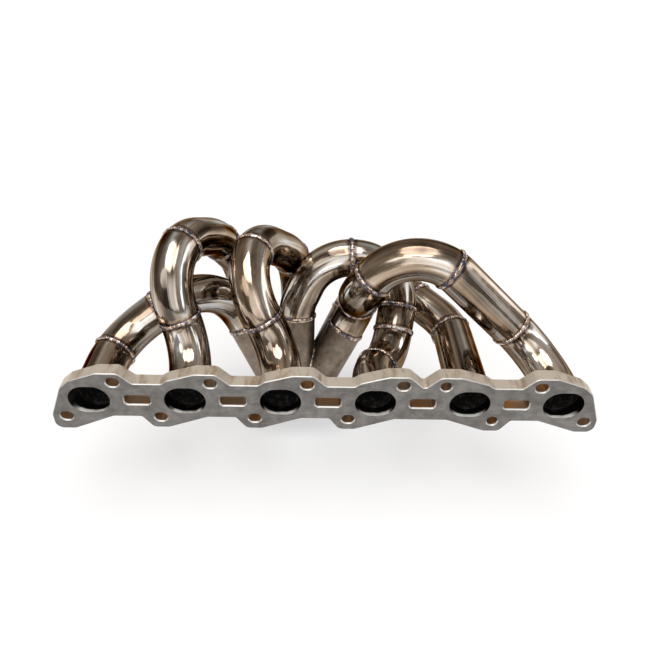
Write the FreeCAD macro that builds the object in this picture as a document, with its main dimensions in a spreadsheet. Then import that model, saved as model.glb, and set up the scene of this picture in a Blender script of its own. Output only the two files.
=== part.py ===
import FreeCAD, Part
import math
import os

import Sketcher
from FreeCAD import Placement, Rotation, Vector

# Six-cylinder tubular exhaust manifold, in millimetres. The origin lies on the face that seals
# to the cylinder head, midway between ports 3 and 4. X runs along the head flange towards
# port 6, Y points away from the engine and Z is up.

SIZES = {
    # Runner tube and the stock bends it is cut from
    "tube_od": 44.45,
    "tube_wall": 2.0,
    "bend_radius": 57.0,
    "tight_bend_radius": 50.0,
    "wide_bend_radius": 73.0,
    # Head flange
    "port_pitch": 96.5,
    "flange_thickness": 15.0,
    "flange_edge_break": 0.8,
    "port_width": 42.0,
    "port_height": 34.0,
    "bolt_offset_x": 27.0,
    "bolt_offset_z": 23.0,
    "bolt_hole": 11.0,
    "bolt_hole_travel": 2.0,
    "hole_chamfer": 1.2,
    "lobe_above_bolt": 11.5,
    "lobe_below_bolt": 14.5,
    "web_top": 21.5,
    "web_bottom": 22.5,
    "flange_end": 41.5,
    "relief_length": 26.0,
    "relief_height": 11.5,
    "relief_corner": 3.5,
    # Collector: its outlet, how it leans back and how its legs fan out
    "outlet_x": -36.5,
    "outlet_y": 158.0,
    "outlet_z": -106.5,
    "collector_lean": 21.5,
    "column_spread": 26.5,
    "row_spread": 8.0,
    "column_gap": 0.275,
    "row_overlap": 10.225,
    "cone_length": 18.0,
    "cone_wall": 5.0,
    # Turbine flange
    "turbine_plate_width": 118.0,
    "turbine_plate_depth": 96.0,
    "turbine_plate_corner": 14.0,
    "turbine_plate_thickness": 12.0,
    "turbine_port_width": 76.0,
    "turbine_port_depth": 54.0,
    "turbine_port_corner": 14.0,
    "turbine_bolts_width": 92.0,
    "turbine_bolts_depth": 70.0,
    "turbine_bolt_hole": 10.5,
    # Weld beads
    "bead_width": 5.0,
    "bead_crown": 1.1,
    "flange_bead": 4.5,
    "bead_fit": 0.12,
}

# Each runner leaves its port straight back for `reach`, turns at its corner points, given
# across, back and up from the port's centre, and then comes down the line of its own collector
# leg for `drop`. `leg` is the column and row in the collector and the leg's length above the
# outlet. `bends` names the stock bend at each turn. A weld lies a share of a turn past the
# start of that turn, plus a length; one more weld always joins the runner to its leg.
RUNNERS = {
    1: {
        "shift": 3.5, "reach": 97.0, "corners": [(98.0, 131.0, 63.0)], "drop": 23.0,
        "leg": (-1, -1, 96.0), "bends": "nnn",
        "welds": [(1, 0.0, 22.0), (2, 0.0, 0.0)],
        "pieces": ["port_stub", "riser", "collector_bend"],
    },
    2: {
        "shift": 0.0, "reach": 72.0, "drop": 17.0,
        "corners": [(-39.0, 88.0, 135.0), (11.0, 191.0, 86.0), (38.0, 246.0, 14.0)],
        "leg": (-1, 1, 91.0), "bends": "nnwnn",
        "welds": [(1, 1.0, 0.0), (2, 0.0, 82.0), (3, 1.0, 0.0), (4, 1.0, 0.0)],
        "pieces": ["port_bend", "riser", "top_bend", "rear_bend", "collector_bend"],
    },
    3: {
        "shift": 0.0, "reach": 77.0, "corners": [(-79.0, 101.0, 152.0), (-1.0, 204.0, 60.0)],
        "drop": 51.0, "leg": (0, 1, 95.0), "bends": "nnwn",
        "welds": [(1, 1.0, 0.0), (2, 0.0, 84.0), (4, 0.0, 0.0)],
        "pieces": ["port_bend", "riser", "top_bend", "collector_bend"],
    },
    4: {
        "shift": 0.0, "reach": 48.5, "drop": 13.0,
        "corners": [(25.0, 103.0, -18.0), (43.0, 181.0, 54.0), (-54.0, 181.0, 74.0)],
        "leg": (0, -1, 95.0), "bends": "nttnn",
        "welds": [(1, 1.0, 0.0), (2, 1.0, 0.0), (3, 0.0, 0.0), (4, 0.0, 12.0)],
        "pieces": ["port_bend", "side_bend", "riser", "top_bend", "collector_bend"],
    },
    5: {
        "shift": 2.5, "reach": 138.0, "corners": [(-43.0, 193.0, 9.0)], "drop": 59.0,
        "leg": (1, 1, 104.0), "bends": "wwn",
        "welds": [(1, 0.0, 14.0), (2, 0.0, -11.0)],
        "pieces": ["port_stub", "side_bend", "collector_bend"],
    },
    6: {
        "shift": 0.0, "reach": 78.0, "drop": 47.0,
        "corners": [(-154.0, 96.0, 142.0), (-214.0, 104.0, 59.0)],
        "leg": (1, -1, 91.0), "bends": "nnnn",
        "welds": [(1, 1.0, 5.0), (2, 0.0, 10.5), (3, 0.0, 5.0), (4, 0.0, 21.0)],
        "pieces": ["port_bend", "long_riser", "top_bend", "front_bend", "collector_bend"],
    },
}
BENDS = {"n": "bend_radius", "t": "tight_bend_radius", "w": "wide_bend_radius"}
PORTS = range(1, 7)
ACROSS = Vector(1, 0, 0)
SHORTEST_CUT = 0.5
SHORTEST_STRAIGHT = 0.05

doc = FreeCAD.newDocument("ExhaustManifold")
sheet = doc.addObject("Spreadsheet::Sheet", "Sizes")
nodes = []
expected_volume = {}


def fill_sheet():
    cells = dict(SIZES)
    for number, runner in RUNNERS.items():
        name = f"runner{number}"
        cells[f"{name}_shift"] = runner["shift"]
        cells[f"{name}_reach"] = runner["reach"]
        cells[f"{name}_drop"] = runner["drop"]
        cells[f"{name}_leg"] = runner["leg"][2]
        for turn, corner in enumerate(runner["corners"], start=2):
            for direction, value in zip(("across", "back", "up"), corner):
                cells[f"{name}_turn{turn}_{direction}"] = value
    for row, (alias, value) in enumerate(cells.items(), start=1):
        sheet.set(f"A{row}", alias)
        sheet.set(f"B{row}", str(value))
        sheet.setAlias(f"B{row}", alias)
    doc.recompute()


def size(alias):
    return float(sheet.get(alias))


def unit(vector):
    return vector / vector.Length


def frame(origin, along, sideways):
    # Z follows `along` and X points `sideways`.
    return Placement(origin, Rotation(sideways, along.cross(sideways), along, "ZXY"))


def port_x(port):
    return (port - 3.5) * size("port_pitch")


def port_side(port):
    # The bolts of ports 5 and 6 are the mirror image of the others.
    return 1 if port <= 4 else -1


# Sketch helpers. Every sketch is drawn about its own origin and carried by its offset.

def add_sketch(body, name, offset=Placement(), plane="XY_Plane"):
    sketch = body.newObject("Sketcher::SketchObject", name)
    support = next(f for f in body.Origin.OriginFeatures if f.Role == plane)
    sketch.AttachmentSupport = [(support, "")]
    sketch.MapMode = "FlatFace"
    sketch.AttachmentOffset = offset
    return sketch


def bind(sketch, constraint, name, expression):
    index = sketch.addConstraint(constraint)
    sketch.renameConstraint(index, name)
    sketch.setExpression(f"Constraints.{name}", expression)


def draw_circle(sketch, name, radius, expression, left=None):
    # `left` is the alias of the distance that the centre lies to the left of the origin.
    shift = size(left) if left else 0.0
    circle = sketch.addGeometry(Part.Circle(Vector(-shift, 0, 0), Vector(0, 0, 1), radius))
    bind(sketch, Sketcher.Constraint("Radius", circle, radius), name, expression)
    if left:
        sketch.addConstraint(Sketcher.Constraint("PointOnObject", circle, 3, -1))
        gap = Sketcher.Constraint("DistanceX", circle, 3, -1, 1, shift)
        bind(sketch, gap, f"{name}_centre", f"Sizes.{left}")
    else:
        sketch.addConstraint(Sketcher.Constraint("Coincident", circle, 3, -1, 1))


def draw_rounded_rectangle(sketch, width, depth, corner):
    # Each size is a pair: its value now and the expression that drives it.
    half_w, half_d, radius = width[0] / 2, depth[0] / 2, corner[0]
    lines, arcs = [], []
    for turn in range(4):
        spin = Rotation(Vector(0, 0, 1), 90 * turn)
        reach, rise = (half_w, half_d) if turn % 2 == 0 else (half_d, half_w)
        start = spin.multVec(Vector(reach, radius - rise, 0))
        end = spin.multVec(Vector(reach, rise - radius, 0))
        centre = spin.multVec(Vector(reach - radius, rise - radius, 0))
        lines.append(sketch.addGeometry(Part.LineSegment(start, end)))
        circle = Part.Circle(centre, Vector(0, 0, 1), radius)
        first = math.radians(90 * turn)
        arcs.append(sketch.addGeometry(Part.ArcOfCircle(circle, first, first + math.pi / 2)))
    for turn in range(4):
        following = lines[(turn + 1) % 4]
        sketch.addConstraint(Sketcher.Constraint("Tangent", lines[turn], 2, arcs[turn], 1))
        sketch.addConstraint(Sketcher.Constraint("Tangent", arcs[turn], 2, following, 1))
        upright = "Vertical" if turn % 2 == 0 else "Horizontal"
        sketch.addConstraint(Sketcher.Constraint(upright, lines[turn]))
    for arc in arcs[1:]:
        sketch.addConstraint(Sketcher.Constraint("Equal", arcs[0], arc))
    bind(sketch, Sketcher.Constraint("Radius", arcs[0], radius), "corner", corner[1])
    for name, kind, ends, value, text in (
        ("right", "DistanceX", (-1, 1, lines[0], 1), half_w, width[1]),
        ("left", "DistanceX", (lines[2], 1, -1, 1), half_w, width[1]),
        ("far", "DistanceY", (-1, 1, lines[1], 1), half_d, depth[1]),
        ("near", "DistanceY", (lines[3], 1, -1, 1), half_d, depth[1]),
    ):
        bind(sketch, Sketcher.Constraint(kind, *ends, value), name, f"({text}) / 2")


def draw_slot(sketch, length, height):
    # A slot lies along X: two half circles and the straight sides between them.
    half, radius = (length[0] - height[0]) / 2, height[0] / 2
    up = Vector(0, radius, 0)
    right = Part.ArcOfCircle(Part.Circle(Vector(half, 0, 0), Vector(0, 0, 1), radius),
                             -math.pi / 2, math.pi / 2)
    left = Part.ArcOfCircle(Part.Circle(Vector(-half, 0, 0), Vector(0, 0, 1), radius),
                            math.pi / 2, 3 * math.pi / 2)
    top = Part.LineSegment(Vector(half, 0, 0) + up, Vector(-half, 0, 0) + up)
    bottom = Part.LineSegment(Vector(-half, 0, 0) - up, Vector(half, 0, 0) - up)
    ring = [sketch.addGeometry(item) for item in (right, top, left, bottom)]
    for item, following in zip(ring, ring[1:] + ring[:1]):
        sketch.addConstraint(Sketcher.Constraint("Tangent", item, 2, following, 1))
    sketch.addConstraint(Sketcher.Constraint("Equal", ring[0], ring[2]))
    bind(sketch, Sketcher.Constraint("Radius", ring[0], radius), "radius", f"({height[1]}) / 2")
    for name, ends in (("right", (-1, 1, ring[0], 3)), ("left", (ring[2], 3, -1, 1))):
        gap = Sketcher.Constraint("DistanceX", *ends, half)
        bind(sketch, gap, name, f"({length[1]} - ({height[1]})) / 2")
    for arc in (ring[0], ring[2]):
        sketch.addConstraint(Sketcher.Constraint("PointOnObject", arc, 3, -1))


def draw_rounded_outline(sketch, corners):
    # A closed outline through (x, y, radius) corners, each rounded by an arc.
    points = [Vector(x, y, 0) for x, y, _ in corners]
    ends = []
    for index, (corner, (_, _, radius)) in enumerate(zip(points, corners)):
        before = unit(points[index - 1] - corner)
        after = unit(points[(index + 1) % len(points)] - corner)
        half_angle = before.getAngle(after) / 2
        setback = radius / math.tan(half_angle)
        middle = corner + unit(before + after) * (radius / math.sin(half_angle) - radius)
        start, end = corner + before * setback, corner + after * setback
        sketch.addGeometry(Part.Arc(start, middle, end))
        ends.append((start, end))
    for (_, end), (start, _) in zip(ends, ends[1:] + ends[:1]):
        sketch.addGeometry(Part.LineSegment(end, start))


def add_feature(body, kind, name, sketch, **settings):
    feature = body.newObject(f"PartDesign::{kind}", name)
    feature.Profile = sketch
    for setting, value in settings.items():
        setattr(feature, setting, value)
    return feature


def start_body(label):
    body = doc.addObject("PartDesign::Body", label)
    body.Label = label
    nodes.append(body)
    return body


# Collector axes

def collector_axes():
    lean = math.radians(size("collector_lean"))
    up = Vector(0, math.sin(lean), math.cos(lean))
    return up, up.cross(ACROSS)


def outlet_centre():
    return Vector(size("outlet_x"), size("outlet_y"), size("outlet_z"))


def leg_offsets():
    # At the outlet the columns stand side by side and the two rows run into each other.
    radius = size("tube_od") / 2
    return radius + size("column_gap"), radius - size("row_overlap")


def leg_axes(column, row):
    # The three legs of a row fan out from one apex below the outlet.
    up, back = collector_axes()
    tilt = math.radians(size("row_spread"))
    fan = math.radians(size("column_spread"))
    row_up = up * math.cos(tilt) + back * (row * math.sin(tilt))
    column_offset, row_offset = leg_offsets()
    depth = column_offset / math.tan(fan)
    apex = outlet_centre() + back * (row * row_offset) - row_up * depth
    direction = row_up * math.cos(fan * column) + ACROSS * math.sin(fan * column)
    return apex, direction, row_up, depth


def leg_inlet(number):
    column, row, _ = RUNNERS[number]["leg"]
    apex, direction, _, depth = leg_axes(column, row)
    return apex + direction * (size(f"runner{number}_leg") + depth), direction


# Runner centrelines: straight and bent bits, each with the frame at its start

def runner_points(number):
    name = f"runner{number}"
    axis_x = port_x(number) + size(f"{name}_shift")
    points = [Vector(axis_x, size("flange_thickness"), 0), Vector(axis_x, size(f"{name}_reach"), 0)]
    for turn in range(2, 2 + len(RUNNERS[number]["corners"])):
        across, back, up = (size(f"{name}_turn{turn}_{d}") for d in ("across", "back", "up"))
        points.append(Vector(port_x(number) + across, back, up))
    inlet, direction = leg_inlet(number)
    points.append(inlet + direction * size(f"{name}_drop"))
    points.append(inlet)
    return points


def shortfall(points, radii):
    # How far the straights are from fitting between the bends, squared and added up
    along = [unit(b - a) for a, b in zip(points, points[1:])]
    bends = zip(radii, along, along[1:])
    setbacks = [0.0] + [r * math.tan(a.getAngle(b) / 2) for r, a, b in bends] + [0.0]
    lacks = [before + after + SHORTEST_STRAIGHT - (b - a).Length
             for before, after, a, b in zip(setbacks, setbacks[1:], points, points[1:])]
    return sum(max(lack, 0.0) ** 2 for lack in lacks)


def make_room(points, radii):
    # Moves corners in ever smaller steps until every bend fits, so that a runner follows a
    # wider bend, a larger tube or another port pitch. The first corner stays on the port's
    # axis and the last one on its leg's; a runner whose bends fit stays as it is.
    moves = [(1, unit(points[1] - points[0])), (-2, unit(points[-2] - points[-1]))]
    moves += [(i, axis) for i in range(2, len(points) - 2)
              for axis in (ACROSS, Vector(0, 1, 0), Vector(0, 0, 1))]
    step = 4.0
    lack = shortfall(points, radii)
    while lack > 0 and step > 1e-3:
        before = lack
        for i, direction in moves:
            for way in (step, -step):
                trial = list(points)
                trial[i] = trial[i] + direction * way
                trial_lack = shortfall(trial, radii)
                if trial_lack < lack:
                    points, lack = trial, trial_lack
        if lack == before:
            step /= 2
    return points


def runner_bits(number):
    radii = [size(BENDS[code]) for code in RUNNERS[number]["bends"]]
    points = make_room(runner_points(number), radii)
    bits = []
    here = points[0]
    along = unit(points[1] - points[0])
    starts = {}
    for turn, code in enumerate(RUNNERS[number]["bends"], start=1):
        corner, following = points[turn], points[turn + 1]
        leaving = unit(following - corner)
        angle = along.getAngle(leaving)
        radius = size(BENDS[code])
        setback = radius * math.tan(angle / 2)
        inward = unit(leaving - along * math.cos(angle))
        start = corner - along * setback
        run = {"start": here, "along": along, "inward": inward, "radius": None,
               "length": (start - here).dot(along)}
        bend = {"start": start, "along": along, "inward": inward, "radius": BENDS[code],
                "length": radius * angle}
        starts[turn] = (sum(bit["length"] for bit in bits) + run["length"], bend["length"])
        bits += [run, bend]
        here, along = corner + leaving * setback, leaving
    bits.append({"start": here, "along": along, "inward": inward, "radius": None,
                 "length": (points[-1] - here).dot(along)})
    return bits, starts


def advance(bit, distance):
    # The point, direction and inward direction that lie `distance` along a bit.
    if bit["radius"] is None:
        return bit["start"] + bit["along"] * distance, bit["along"], bit["inward"]
    radius = size(bit["radius"])
    turned = distance / radius
    along = bit["along"] * math.cos(turned) + bit["inward"] * math.sin(turned)
    inward = bit["inward"] * math.cos(turned) - bit["along"] * math.sin(turned)
    centre = bit["start"] + bit["inward"] * radius
    return centre - inward * radius, along, inward


def cut_runner(bits, stations):
    # Cuts the bits at the weld stations and returns one list of bits for each piece.
    pieces, piece = [], []
    station = iter(stations + [math.inf])
    cut = next(station)
    travelled = 0.0
    for bit in bits:
        done = 0.0
        while cut < travelled + bit["length"] - SHORTEST_CUT:
            share = cut - travelled
            if share - done > SHORTEST_CUT:
                piece.append(portion(bit, done, share))
                done = share
            pieces.append(piece)
            piece = []
            cut = next(station)
        if bit["length"] - done > 1e-3:
            piece.append(portion(bit, done, bit["length"]))
        travelled += bit["length"]
    pieces.append(piece)
    return pieces


def portion(bit, first, last):
    start, along, inward = advance(bit, first)
    return {"start": start, "along": along, "inward": inward, "radius": bit["radius"],
            "length": last - first}


def add_tube(label, bits):
    body = start_body(label)
    home = frame(bits[0]["start"], bits[0]["along"], bits[0]["inward"])
    for bit in bits:
        origin = bit["start"]
        if bit["radius"]:
            origin = origin + bit["inward"] * size(bit["radius"])
        offset = home.inverse() * frame(origin, bit["along"], bit["inward"])
        section = add_sketch(body, "Section", offset)
        outer = size("tube_od") / 2
        draw_circle(section, "outer", outer, "Sizes.tube_od / 2", bit["radius"])
        draw_circle(section, "bore", outer - size("tube_wall"),
                    "Sizes.tube_od / 2 - Sizes.tube_wall", bit["radius"])
        if bit["radius"]:
            angle = math.degrees(bit["length"] / size(bit["radius"]))
            add_feature(body, "Revolution", "Bend", section, Angle=angle,
                        ReferenceAxis=(section, ["V_Axis"]))
        else:
            add_feature(body, "Pad", "Run", section, Length=bit["length"])
    body.Placement = home
    wall = size("tube_wall")
    area = math.pi * wall * (size("tube_od") - wall)
    expected_volume[label] = area * sum(bit["length"] for bit in bits)


# Weld beads: rings of a D-shaped section round the tube, and a fillet at the head flange

def draw_bead(sketch):
    inner = size("tube_od") / 2 + size("bead_fit")
    half, crown = size("bead_width") / 2, size("bead_crown")
    low, high = Vector(inner, -half, 0), Vector(inner, half, 0)
    crest = Vector(inner + crown, 0, 0)
    back = sketch.addGeometry(Part.LineSegment(high, low))
    arc = sketch.addGeometry(Part.Arc(low, crest, high))
    sketch.addConstraint(Sketcher.Constraint("Coincident", back, 2, arc, 1))
    sketch.addConstraint(Sketcher.Constraint("Coincident", back, 1, arc, 2))
    sketch.addConstraint(Sketcher.Constraint("Symmetric", back, 1, back, 2, -1))
    bind(sketch, Sketcher.Constraint("DistanceY", back, 2, back, 1, 2 * half), "width",
         "Sizes.bead_width")
    bind(sketch, Sketcher.Constraint("DistanceX", -1, 1, back, 1, inner), "seat",
         "Sizes.tube_od / 2 + Sizes.bead_fit")
    radius = (half ** 2 + crown ** 2) / (2 * crown)
    bind(sketch, Sketcher.Constraint("Radius", arc, radius), "crown",
         "(Sizes.bead_width ^ 2 / 4 + Sizes.bead_crown ^ 2) / (2 * Sizes.bead_crown)")


def draw_flange_bead(sketch):
    inner, leg = size("tube_od") / 2 + size("bead_fit"), size("flange_bead")
    corners = [Vector(inner, 0, 0), Vector(inner + leg, 0, 0), Vector(inner, leg, 0)]
    lines = [sketch.addGeometry(Part.LineSegment(a, b))
             for a, b in zip(corners, corners[1:] + corners[:1])]
    for line, following in zip(lines, lines[1:] + lines[:1]):
        sketch.addConstraint(Sketcher.Constraint("Coincident", line, 2, following, 1))
    sketch.addConstraint(Sketcher.Constraint("PointOnObject", lines[0], 1, -1))
    sketch.addConstraint(Sketcher.Constraint("Horizontal", lines[0]))
    sketch.addConstraint(Sketcher.Constraint("Vertical", lines[2]))
    bind(sketch, Sketcher.Constraint("DistanceX", -1, 1, lines[0], 1, inner), "seat",
         "Sizes.tube_od / 2 + Sizes.bead_fit")
    for name, kind, line, ends in (("foot", "DistanceX", 0, (1, 2)), ("rise", "DistanceY", 2, (2, 1))):
        first, second = ends
        bind(sketch, Sketcher.Constraint(kind, lines[line], first, lines[line], second, leg), name,
             "Sizes.flange_bead")


def add_beads(number, frames):
    # The first frame stands on the head flange and the others at the welds between pieces.
    body = start_body(f"runner_{number}_weld_beads")
    body.AllowCompound = True
    upright = Placement(Vector(), Rotation(ACROSS, 90))
    for index, place in enumerate(frames):
        section = add_sketch(body, "BeadSection", frames[0].inverse() * place * upright)
        draw = draw_bead if index else draw_flange_bead
        draw(section)
        add_feature(body, "Revolution", "Bead", section, Angle=360.0,
                    ReferenceAxis=(section, ["V_Axis"]))
    body.Placement = frames[0]


def build_runner(number):
    runner = RUNNERS[number]
    bits, starts = runner_bits(number)
    stations = [starts[turn][0] + share * starts[turn][1] + past
                for turn, share, past in runner["welds"]]
    pieces = cut_runner(bits, stations)
    for name, piece in zip(runner["pieces"], pieces):
        add_tube(f"runner_{number}_{name}", piece)
    frames = [frame(piece[0]["start"], piece[0]["along"], piece[0]["inward"]) for piece in pieces]
    inlet, along = leg_inlet(number)
    frames.append(frame(inlet, along, pieces[-1][-1]["inward"]))
    add_beads(number, frames)
    print(f"runner {number}: centreline {sum(bit['length'] for bit in bits):.1f} mm,",
          "straights", [round(bit["length"], 1) for bit in bits if bit["radius"] is None])


# Head flange: lobed plate, ports that change from oval to round, slots and relief pockets

def flange_outline():
    bolt_x, top = size("bolt_offset_x"), size("bolt_offset_z") + size("lobe_above_bolt")
    bottom = -size("bolt_offset_z") - size("lobe_below_bolt")
    web_top, web_bottom = size("web_top"), -size("web_bottom")
    lobe_end = size("port_pitch") / 2 - 1.75
    end = size("flange_end")
    # One lobe above and one below each port, as seen from the engine for ports 1 to 4
    upper = [(5 - bolt_x, web_top, 6), (11 - bolt_x, web_top + 4.5, 8), (bolt_x - 15, top, 12),
             (bolt_x + 6, top, 9), (lobe_end, web_top, 4)]
    lower = [(bolt_x - 6, web_bottom, 10), (7 - bolt_x, bottom, 9), (-bolt_x - 9, bottom, 8),
             (-lobe_end, web_bottom, 4)]
    left, right = port_x(1), port_x(6)
    left_end = [(left - end, bottom - 3, 9), (left - end, -21, 12), (left - bolt_x, 15, 12)]
    right_end = [(right + bolt_x, 15, 12), (right + end - 1, -20, 12), (right + end - 1, bottom, 9)]
    outline = list(left_end)
    for port in PORTS:
        lobe = [(port_x(port) + port_side(port) * x, z, radius) for x, z, radius in upper]
        lobe = lobe if port_side(port) > 0 else lobe[::-1]
        if port == 1:
            lobe = [(left - 16, web_top + 3, 10)] + lobe[2:]
        if port == 6:
            lobe = lobe[:-2] + [(right + 16, web_top + 3, 10)]
        outline += lobe
    outline += right_end
    for port in reversed(PORTS):
        lobe = [(port_x(port) + port_side(port) * x, z, radius) for x, z, radius in lower]
        lobe = lobe if port_side(port) > 0 else lobe[::-1]
        if port == 1:
            lobe = lobe[:1] + [(left - 21, bottom - 3, 10)]
        if port == 6:
            lobe = [(right + 20, bottom, 10)] + lobe[-1:]
        outline += lobe
    return outline


def on_flange(x, z, y=0.0):
    # Offset of a sketch on the flange's XZ plane, whose own Z points towards the engine.
    return Placement(Vector(x, z, -y), Rotation())


def add_port(body, port):
    thickness = size("flange_thickness")
    mouth = add_sketch(body, "PortMouth", on_flange(port_x(port), 0), "XZ_Plane")
    width, height = size("port_width"), size("port_height")
    draw_slot(mouth, (width, "Sizes.port_width"), (height, "Sizes.port_height"))
    shift = size(f"runner{port}_shift")
    bore = add_sketch(body, "PortBore", on_flange(port_x(port) + shift, 0, thickness), "XZ_Plane")
    radius = size("tube_od") / 2 - size("tube_wall")
    corner = math.atan2(height, width - height)
    turns = [-corner, corner, math.pi - corner, math.pi + corner, 2 * math.pi - corner]
    circle = Part.Circle(Vector(), Vector(0, 0, 1), radius)
    arcs = [bore.addGeometry(Part.ArcOfCircle(circle, a, b)) for a, b in zip(turns, turns[1:])]
    for arc, following in zip(arcs, arcs[1:] + arcs[:1]):
        bore.addConstraint(Sketcher.Constraint("Coincident", arc, 2, following, 1))
        bore.addConstraint(Sketcher.Constraint("Coincident", arc, 3, -1, 1))
    bind(bore, Sketcher.Constraint("Radius", arcs[0], radius), "radius",
         "Sizes.tube_od / 2 - Sizes.tube_wall")
    add_feature(body, "SubtractiveLoft", "Port", mouth, Sections=[bore], Ruled=True)


def inner_front_edges(shape):
    # Names of the hole edges on the sealing face, the ports' mouths left out.
    front = max((f for f in shape.Faces if abs(f.CenterOfMass.y) < 1e-6), key=lambda f: f.Area)
    skipped = [front.OuterWire] + [w for w in front.Wires if w.BoundBox.XLength > 30]
    kept = [e for w in front.Wires if not any(w.isSame(s) for s in skipped) for e in w.Edges]
    return [f"Edge{i}" for i, e in enumerate(shape.Edges, 1) if any(e.isSame(k) for k in kept)]


def outer_front_edges(shape):
    front = max((f for f in shape.Faces if abs(f.CenterOfMass.y) < 1e-6), key=lambda f: f.Area)
    kept = front.OuterWire.Edges
    return [f"Edge{i}" for i, e in enumerate(shape.Edges, 1) if any(e.isSame(k) for k in kept)]


def build_head_flange():
    body = start_body("head_flange")
    outline = add_sketch(body, "Outline", plane="XZ_Plane")
    draw_rounded_outline(outline, flange_outline())
    plate = add_feature(body, "Pad", "Plate", outline, Reversed=True)
    plate.setExpression("Length", "Sizes.flange_thickness")
    for port in PORTS:
        add_port(body, port)
    for port in PORTS:
        for end in (1, -1):
            x = port_x(port) + end * port_side(port) * size("bolt_offset_x")
            hole = add_sketch(body, "BoltHole", on_flange(x, end * size("bolt_offset_z")), "XZ_Plane")
            if port == 5:
                draw_circle(hole, "radius", size("bolt_hole") / 2, "Sizes.bolt_hole / 2")
            else:
                draw_slot(hole, (size("bolt_hole") + size("bolt_hole_travel"),
                                 "Sizes.bolt_hole + Sizes.bolt_hole_travel"),
                          (size("bolt_hole"), "Sizes.bolt_hole"))
            add_feature(body, "Pocket", "BoltPocket", hole, Type="ThroughAll")
    relief = add_sketch(body, "Relief", on_flange(port_x(1.5), 0), "XZ_Plane")
    draw_rounded_rectangle(relief, (size("relief_length"), "Sizes.relief_length"),
                           (size("relief_height"), "Sizes.relief_height"),
                           (size("relief_corner"), "Sizes.relief_corner"))
    cut = add_feature(body, "Pocket", "ReliefPocket", relief, Type="ThroughAll")
    row = body.newObject("PartDesign::LinearPattern", "ReliefRow")
    row.Originals = [cut]
    row.Direction = (relief, ["H_Axis"])
    row.setExpression("Length", "4 * Sizes.port_pitch")
    row.Occurrences = 5
    body.Tip = row
    doc.recompute()
    for name, base, edges, alias in (
        ("HoleChamfer", row, inner_front_edges, "hole_chamfer"),
        ("EdgeBreak", None, outer_front_edges, "flange_edge_break"),
    ):
        base = base or body.Tip
        chamfer = body.newObject("PartDesign::Chamfer", name)
        chamfer.Base = (base, edges(base.Shape))
        chamfer.setExpression("Size", f"Sizes.{alias}")
        body.Tip = chamfer
        doc.recompute()


# Collector: six legs trimmed where they meet, a cone below them and the turbine flange

def add_box_half_space(label, place, reach):
    # A box that fills the +X side of its frame.
    box = doc.addObject("Part::Box", label)
    box.Length, box.Width, box.Height = reach, 2 * reach, 2 * reach
    box.Placement = place * Placement(Vector(0, -reach, -reach), Rotation())
    return box


def build_leg(number):
    column, row, _ = RUNNERS[number]["leg"]
    apex, direction, row_up, depth = leg_axes(column, row)
    up, back = collector_axes()
    row_back = row_up.cross(ACROSS)
    length = size(f"runner{number}_leg") + depth
    reach = 2 * length
    place = frame(apex, direction, direction.cross(row_back) * -1)
    skin = []
    for name, expression in (("Outer", "Sizes.tube_od / 2"),
                             ("Bore", "Sizes.tube_od / 2 - Sizes.tube_wall")):
        cylinder = doc.addObject("Part::Cylinder", f"Leg{number}{name}")
        cylinder.setExpression("Radius", expression)
        cylinder.Height = length
        cylinder.Placement = place
        skin.append(cylinder)
    tube = doc.addObject("Part::Cut", f"Leg{number}Tube")
    tube.Base, tube.Tool = skin
    centre = outlet_centre()
    sides = [
        frame(centre, up, back * row),
        frame(centre, back, up),
    ]
    half_fan = math.radians(size("column_spread")) / 2
    for edge in ([-1, 1] if column == 0 else [column]):
        # The plane halfway between this column and its neighbour, facing this column
        bisector = row_up * math.cos(half_fan) + ACROSS * (edge * math.sin(half_fan))
        outward = unit(ACROSS - bisector * bisector.dot(ACROSS)) * edge
        facing = outward if column else outward * -1
        sides.append(frame(apex, bisector, facing))
    leg = doc.addObject("Part::MultiCommon", f"collector_leg_{number}")
    leg.Label = leg.Name
    leg.Shapes = [tube] + [add_box_half_space(f"Leg{number}Side{i}", side, reach)
                           for i, side in enumerate(sides)]
    nodes.append(leg)


def build_cone():
    up, _ = collector_axes()
    place = frame(outlet_centre(), up, ACROSS)
    body = start_body("collector_outlet_cone")
    fan, tilt = math.radians(size("column_spread")), math.radians(size("row_spread"))
    radius, wall = size("tube_od") / 2, size("cone_wall")
    column_offset, row_offset = leg_offsets()
    top_width = 2 * (column_offset + radius / math.cos(fan))
    top_depth = 2 * (row_offset + radius / math.cos(tilt))
    port = [size(f"turbine_port_{name}") for name in ("width", "depth", "corner")]
    low = Placement(Vector(0, 0, -size("cone_length")), Rotation())
    for kind, inset in (("AdditiveLoft", 0.0), ("SubtractiveLoft", wall)):
        top = add_sketch(body, f"{kind}Top")
        draw_plain_rectangle(top, top_width - 2 * inset, top_depth - 2 * inset, radius - inset)
        foot = add_sketch(body, f"{kind}Foot", low)
        grow = 2 * (wall - inset)
        draw_plain_rectangle(foot, port[0] + grow, port[1] + grow, port[2] + grow / 2)
        add_feature(body, kind, kind, top, Sections=[foot], Ruled=True)
    body.Placement = place


def draw_plain_rectangle(sketch, width, depth, corner):
    draw_rounded_outline(sketch, [(x * width / 2, y * depth / 2, corner)
                                  for x, y in ((-1, -1), (1, -1), (1, 1), (-1, 1))])


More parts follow.
